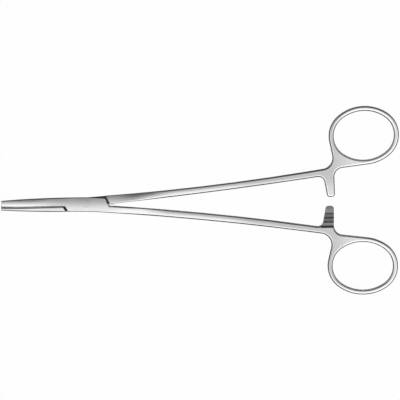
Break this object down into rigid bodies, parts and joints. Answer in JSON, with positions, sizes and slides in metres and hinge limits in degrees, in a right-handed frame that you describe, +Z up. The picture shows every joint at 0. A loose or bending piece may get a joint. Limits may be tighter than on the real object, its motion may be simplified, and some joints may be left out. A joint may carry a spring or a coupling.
{
  "type": "hemostat forceps",
  "caption": "Slender locking forceps with short toothed jaws, a pinned box lock, long shanks, oval finger rings and ratchet arms; lies flat with its jaws just closed.",
  "frame": {"origin": "on the pivot's axis, at the underside of the lock", "axes": "+X from the lock towards the finger rings, +Y towards the tenon half's shank, +Z up out of the flat side that shows in the picture"},
  "size_m": [0.1781, 0.0842, 0.005],
  "materials": {
    "forged_steel": "fine satin polish",
    "pin_steel": "ground flush and polished"
  },
  "bodies": {
    "box_body": {"box_half": "forged_steel", "pivot_pin": "pin_steel"},
    "tenon_body": {"tenon_half": "forged_steel"}
  },
  "joints": [
    {"name": "box_lock", "type": "hinge", "parent": "box_body", "child": "tenon_body", "pos_m": [0, 0, 0.0025], "axis": [0, 0, 1], "range_deg": [0, 60]}
  ]
}
